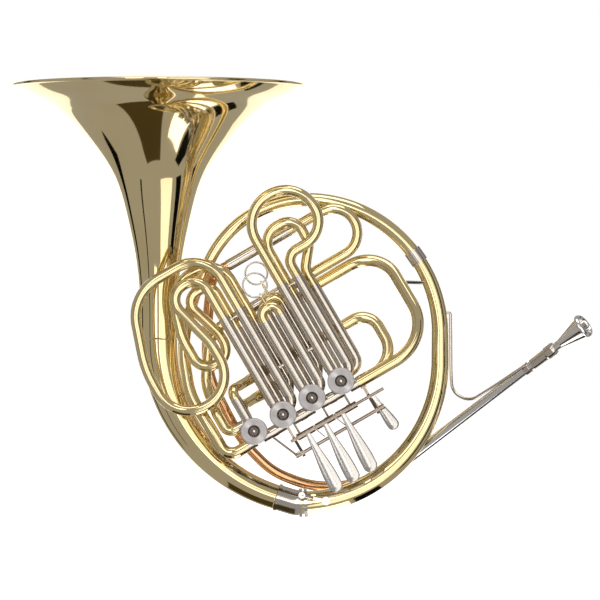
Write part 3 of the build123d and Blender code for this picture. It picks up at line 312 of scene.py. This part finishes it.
def metal(name, colour, deep, roughness, spread=0.05, amount=0.6, coat=0.0, bump=0.02,
          turned=0.0):
    """A polished metal with drifting tone, wipe marks and, where asked, turning marks."""
    material = bpy.data.materials.new(name)
    material.use_nodes = True
    tree = material.node_tree
    shader = tree.nodes["Principled BSDF"]
    place = tree.nodes.new("ShaderNodeTexCoord")
    tone = use_group(tree, "tone", Vector=place.outputs["Object"], Colour=(*colour, 1),
                     Deep_Colour=(*deep, 1), Amount=amount)
    polish = use_group(tree, "polish", Vector=place.outputs["Object"], Roughness=roughness,
                       Spread=spread)
    relief = tree.nodes.new("ShaderNodeBump")
    relief.inputs["Strength"].default_value = bump
    relief.inputs["Distance"].default_value = 0.0002
    tree.links.new(polish.outputs["Height"], relief.inputs["Height"])
    last = relief
    if turned > 0:
        split = tree.nodes.new("ShaderNodeSeparateXYZ")
        tree.links.new(place.outputs["UV"], split.inputs[0])
        marks = use_group(tree, "turned", Distance=split.outputs["Y"], Count=turned)
        last = tree.nodes.new("ShaderNodeBump")
        last.inputs["Strength"].default_value = 0.5
        last.inputs["Distance"].default_value = 0.0001
        tree.links.new(marks.outputs["Height"], last.inputs["Height"])
        tree.links.new(relief.outputs["Normal"], last.inputs["Normal"])
    tree.links.new(tone.outputs["Colour"], shader.inputs["Base Color"])
    tree.links.new(polish.outputs["Roughness"], shader.inputs["Roughness"])
    tree.links.new(last.outputs["Normal"], shader.inputs["Normal"])
    shader.inputs["Metallic"].default_value = 1.0
    shader.inputs["Coat Weight"].default_value = coat
    shader.inputs["Coat Roughness"].default_value = 0.03
    return material


def rubber_material():
    """Matt black rubber with a fine grain."""
    material = bpy.data.materials.new("rubber")
    material.use_nodes = True
    tree = material.node_tree
    shader = tree.nodes["Principled BSDF"]
    place = tree.nodes.new("ShaderNodeTexCoord")
    polish = use_group(tree, "polish", Vector=place.outputs["Object"], Roughness=0.65, Spread=0.2)
    relief = tree.nodes.new("ShaderNodeBump")
    relief.inputs["Strength"].default_value = 0.4
    relief.inputs["Distance"].default_value = 0.0002
    tree.links.new(polish.outputs["Height"], relief.inputs["Height"])
    tree.links.new(polish.outputs["Roughness"], shader.inputs["Roughness"])
    tree.links.new(relief.outputs["Normal"], shader.inputs["Normal"])
    shader.inputs["Base Color"].default_value = (0.02, 0.02, 0.02, 1)
    return material


BRASS = metal("brass", (0.82, 0.69, 0.40), (0.74, 0.59, 0.29), 0.06, coat=0.2)
NICKEL = metal("nickel_silver", (0.66, 0.61, 0.55), (0.56, 0.50, 0.43), 0.11, coat=0.1)
ROSE = metal("rose_brass", (0.80, 0.47, 0.25), (0.70, 0.38, 0.18), 0.10, coat=0.2)
SILVER = metal("silver", (0.82, 0.80, 0.79), (0.72, 0.70, 0.68), 0.07)
STEEL = metal("steel", (0.50, 0.46, 0.43), (0.38, 0.34, 0.31), 0.20)
SATIN = metal("satin_cap", (0.66, 0.64, 0.655), (0.58, 0.56, 0.575), 0.32, turned=70.0)
DARK_NICKEL = metal("dark_nickel", (0.44, 0.37, 0.31), (0.30, 0.24, 0.19), 0.20)
LEVER = metal("lever_silver", (0.64, 0.62, 0.60), (0.56, 0.54, 0.52), 0.16)
# The caps' turned recess gets a dark metal: painted shade for the well that sits deep in each cap.
SHADED_WELL = metal("cap_well", (0.20, 0.17, 0.15), (0.13, 0.11, 0.10), 0.25, turned=30.0)
RUBBER = rubber_material()
SLOTS = {"brass": BRASS, "nickel_silver": NICKEL, "rose_brass": ROSE, "silver": SILVER,
         "steel": STEEL, "rubber": RUBBER}

# ---------------------------------------------------------------- carried-over CAD nodes
node_slots = {part["node"]: part["material_slot"] for part in frame["record"]["subparts"]}
for node_name, node in frame["nodes"].items():
    node.data.materials.clear()
    node.data.materials.append(SLOTS[node_slots[node_name]])

# The lever bodies, posts, rod, springs and links get a darker, browner nickel than the paddles.
DARK_NICKEL_NODES = ("first_lever", "second_lever", "third_lever", "thumb_lever", "lever_posts",
              "lever_rod", "lever_springs", "change_valve_link", "first_valve_link",
              "second_valve_link", "third_valve_link")
for node_name in DARK_NICKEL_NODES:
    frame["nodes"][node_name].data.materials.clear()
    frame["nodes"][node_name].data.materials.append(DARK_NICKEL)

# ---------------------------------------------------------------- bell
outside = spline(FLARE, 220)
heading = np.gradient(outside, axis=0)
heading /= np.linalg.norm(heading, axis=1)[:, None]
inside = outside + BELL_WALL * np.stack([heading[:, 1], -heading[:, 0]], axis=1)
turn = np.linspace(-0.25 * math.pi, 1.25 * math.pi, 48)
bead = np.stack([RIM[0] + BEAD * np.cos(turn), RIM[1] + BEAD * np.sin(turn)], axis=1)
outside = outside[outside[:, 0] < RIM[0] - RIM_OVERLAP]
inside = inside[inside[:, 0] < RIM[0] - BEAD]
profile = np.vstack([inside[::-1], bead[::-1], outside])
bell = surface("bell_skin", lathe(profile, (0, 0, 0), (0, 0, 1), 320), BRASS, "horn",
               close_rows=True)
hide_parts("bell_flare", "bell_rim_wire")

# ---------------------------------------------------------------- big ring
tail = arc(TAIL_CENTRE, TAIL_BEND, 180, TAIL_END, 160)
stations = np.arange(len(TAIL_RADII))
tail_radii = np.interp(np.linspace(0, stations[-1], len(tail)), stations, TAIL_RADII)
tail_skin = surface("tail_skin", ring_tube(tail, tail_radii, 128), BRASS, "horn", poles=True)
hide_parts("bell_tail")

branch = np.vstack([arc(RING_CENTRE, RING_BEND, 270, 360, 160),
                    arc(SHOULDER_CENTRE, SHOULDER_BEND, 0, SHOULDER_FERRULE, 80)[1:]])
span = np.concatenate([[0], np.cumsum(np.linalg.norm(np.diff(branch, axis=0), axis=1))])
branch_radii = np.interp(span, [0, span[-1]], BRANCH_RADII)
branch_skin = surface("branch_skin", ring_tube(branch, branch_radii, 96), BRASS, "horn",
                      poles=True)
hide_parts("main_branch")

crown = np.vstack([arc(SHOULDER_CENTRE, SHOULDER_BEND, SHOULDER_FERRULE, 90, 90),
                   arc(CROWN_CENTRE, CROWN_BEND, 90, CROWN_END, 110)[1:]])
crown_radii = np.linspace(*CROWN_RADII, len(crown))
crown_skin = surface("crown_skin", ring_tube(crown, crown_radii, 96), BRASS, "horn", poles=True)
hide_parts("upper_branch")

# ---------------------------------------------------------------- valve caps
# Profiles as (radius, height above the cap's face): a satin face with a grooved edge, the
# turned recess in its middle and the small boss in that.
cap_face = np.vstack([[(6.2, -2.2), (6.2, -0.4)],
                      spline([(6.4, -0.1), (9.4, 0.0), (12.2, 0.0)], 40),
                      spline([(12.5, -0.1), (13.5, -0.6), (13.9, -1.6), (13.9, -3.2)], 20),
                      spline([(13.9, -3.4), (13.5, -3.7), (13.5, -4.3), (13.9, -4.6)], 12),
                      [(13.9, -8.3), (13.0, -8.3), (13.0, -3.2), (6.2, -3.2)]])
cap_well = np.vstack([spline([(0.3, -2.5), (2.4, -2.5), (4.4, -2.2), (5.5, -1.2),
                              (6.15, -0.35)], 40),
                      [(6.15, -3.1), (0.3, -3.1)]])
cap_boss = np.vstack([spline([(0.05, -0.9), (1.0, -1.0), (1.7, -1.5), (1.9, -2.8)], 20),
                      [(0.05, -2.8)]])
CAP_LAYERS = (("cap_face", cap_face, SATIN), ("cap_well", cap_well, SHADED_WELL),
              ("cap_boss", cap_boss, SILVER))
for place in range(4):
    centre = at((place - 1.5) * VALVE_PITCH, 0, CAP_FACE)
    for layer_name, layer, material in CAP_LAYERS:
        piece = surface(f"{layer_name}_{place + 1}", lathe(layer[::-1], centre, (0, -1, 0), 128),
                        material, "horn", close_rows=True)
        if place == 0 and layer_name == "cap_face":
            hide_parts("valve_caps")


# ---------------------------------------------------------------- finger levers
def paddle(name, root, length, width, stem, lean, depth, body):
    """A spoon: a rounded stem that swells into a crowned, round-ended paddle."""
    share = (1 - np.cos(np.linspace(0, math.pi, 90))) / 2
    along = share * length
    grow = smooth(share / 0.82)
    half = stem / 2 + (width / 2 - stem / 2) * grow
    end = np.clip((along - (length - width / 2)) / (width / 2), 0, 1)
    fade = np.sqrt(np.maximum(1 - end ** 2, 0))
    half = half * fade + 0.05
    angle = np.linspace(0, 2 * math.pi, 64, endpoint=False)
    cosine, sine = np.cos(angle), np.sin(angle)
    square = 0.5
    across = np.sign(cosine) * np.abs(cosine) ** square
    rise = np.sign(sine) * np.abs(sine) ** square
    crown_height = 0.9 * grow * fade
    tilt = math.radians(lean)
    side = half[:, None] * across[None] * 1.04
    height = ((0.4 + 0.75 * fade[:, None]) * rise[None]
              + crown_height[:, None] * (1 - across[None] ** 2) * (rise[None] > 0))
    u = root[0] + side * math.cos(tilt) + along[:, None] * math.sin(tilt)
    v = root[1] + side * math.sin(tilt) - along[:, None] * math.cos(tilt)
    piece = surface(name, at(u, v, depth + height), LEVER, body, poles=True)
    return piece


for lever_name, root_u in (("third_lever", -5.0), ("second_lever", 15.5), ("first_lever", 36.6)):
    paddle(f"{lever_name}_paddle", (root_u, -27.0), 71.4, 14.6, 4.8, -2.0, 39.8,
           f"{lever_name}_body")
paddle("thumb_paddle", (72.6, -32.0), 40.8, 11.9, 5.2, 6.0, 26.0, "thumb_lever_body")


# ---------------------------------------------------------------- studio
def plain(name, colour, strength=0.0):
    """A matt material, or one that only glows."""
    material = bpy.data.materials.new(name)
    material.use_nodes = True
    shader = material.node_tree.nodes["Principled BSDF"]
    shader.inputs["Base Color"].default_value = (*colour, 1)
    shader.inputs["Roughness"].default_value = 0.9
    shader.inputs["Specular IOR Level"].default_value = 0.0
    shader.inputs["Emission Color"].default_value = (*colour, 1)
    shader.inputs["Emission Strength"].default_value = strength
    return material


def card(name, azimuth, elevation, width, height, material, distance=2.6):
    """A flat card in the studio that faces the horn, seen in reflections only."""
    aim = np.array([147.0, 0.0, -225.0])
    turn, lift = math.radians(azimuth), math.radians(elevation)
    outward = np.array([math.sin(turn) * math.cos(lift), -math.cos(turn) * math.cos(lift),
                        math.sin(lift)])
    side = np.array([math.cos(turn), math.sin(turn), 0.0])
    up = np.cross(side, outward) * -1
    centre = aim + outward * distance * 1000
    x = side * width * 500
    z = up * height * 500
    corners = np.array([centre - x - z, centre + x - z, centre + x + z, centre - x + z]) * MM
    mesh = bpy.data.meshes.new(name)
    mesh.from_pydata([tuple(corner) for corner in corners], [], [(0, 1, 2, 3)])
    mesh.materials.append(material)
    piece = bpy.data.objects.new(name, mesh)
    bpy.context.scene.collection.objects.link(piece)
    piece.visible_camera = False
    piece.visible_shadow = False
    return piece


BLACK = plain("flag_black", (0.004, 0.004, 0.004))
GLOW = plain("softbox_glow", (1.0, 0.98, 0.95), 1.25)
DIM = plain("board_dim", (1.0, 0.97, 0.93), 0.62)
UMBER = plain("flag_umber", (0.055, 0.040, 0.016))
# Cards round the horn: azimuth and elevation in degrees, width and height in metres.
CARDS = (
    ("softbox_front", -20, 10, 0.60, 2.2, GLOW), ("softbox_slot", 1, 10, 0.30, 2.2, GLOW),
    ("fill_front", 22, -14, 1.5, 3.2, DIM), ("flag_right", 62, -6, 0.7, 4.0, BLACK),
    ("flag_left", -58, 0, 0.20, 4.0, BLACK), ("flag_left_edge", -118, 0, 0.5, 4.0, BLACK),
    ("flag_right_edge", 112, 0, 0.5, 4.0, BLACK), ("softbox_top", 0, 74, 2.2, 1.5, GLOW),
    ("board_back", 180, 0, 3.0, 3.0, DIM),
)
for card_name, azimuth, elevation, width, height, material in CARDS:
    card(card_name, azimuth, elevation, width, height, material)

# Cards that lie under the bell: x and y of their sides, in metres.
LOW_HEIGHT = -1.25
LOW_CARDS = (("flag_low", (-0.42, 0.05), (-0.55, 0.55), UMBER),
             ("softbox_low", (0.20, 0.50), (-0.30, 1.00), GLOW),
             ("flag_low_right", (0.54, 0.78), (-0.40, 1.30), BLACK))
for card_name, (x_low, x_high), (y_low, y_high), material in LOW_CARDS:
    low_mesh = bpy.data.meshes.new(card_name)
    sides = ((x_low, y_low), (x_high, y_low), (x_high, y_high), (x_low, y_high))
    low_mesh.from_pydata([(*side, LOW_HEIGHT) for side in sides], [], [(0, 1, 2, 3)])
    low_mesh.materials.append(material)
    low = bpy.data.objects.new(card_name, low_mesh)
    bpy.context.scene.collection.objects.link(low)
    low.visible_camera = False
    low.visible_shadow = False

FLOOR_HEIGHT = -0.56
FLOOR_SIDES = ((-6, -6), (6, -6), (6, 9), (-6, 9))
floor_mesh = bpy.data.meshes.new("floor")
floor_mesh.from_pydata([(*side, FLOOR_HEIGHT) for side in FLOOR_SIDES], [], [(0, 1, 2, 3)])
floor_mesh.materials.append(plain("floor_pale", (0.95, 0.95, 0.95), 0.75))
floor = bpy.data.objects.new("floor", floor_mesh)
bpy.context.scene.collection.objects.link(floor)
floor.visible_glossy = False

world = bpy.data.worlds.new("studio")
bpy.context.scene.world = world
world.use_nodes = True
sky = world.node_tree
background = sky.nodes["Background"]
background.inputs["Color"].default_value = (1.0, 0.97, 0.93, 1)
background.inputs["Strength"].default_value = 0.40
white = sky.nodes.new("ShaderNodeBackground")
white.inputs["Color"].default_value = (1, 1, 1, 1)
white.inputs["Strength"].default_value = 1.0
rays = sky.nodes.new("ShaderNodeLightPath")
choose = sky.nodes.new("ShaderNodeMixShader")
sky.links.new(rays.outputs["Is Camera Ray"], choose.inputs["Fac"])
sky.links.new(background.outputs[0], choose.inputs[1])
sky.links.new(white.outputs[0], choose.inputs[2])
sky.links.new(choose.outputs[0], sky.nodes["World Output"].inputs["Surface"])

camera_data = bpy.data.cameras.new("camera")
camera_data.lens = 241.0
camera_data.sensor_width = 36.0
camera = bpy.data.objects.new("camera", camera_data)
camera.location = (0.1472, -4.2, -0.2255)
camera.rotation_euler = (math.radians(90), 0, 0)
bpy.context.scene.collection.objects.link(camera)
bpy.context.scene.camera = camera
bpy.context.scene.view_settings.view_transform = "Standard"
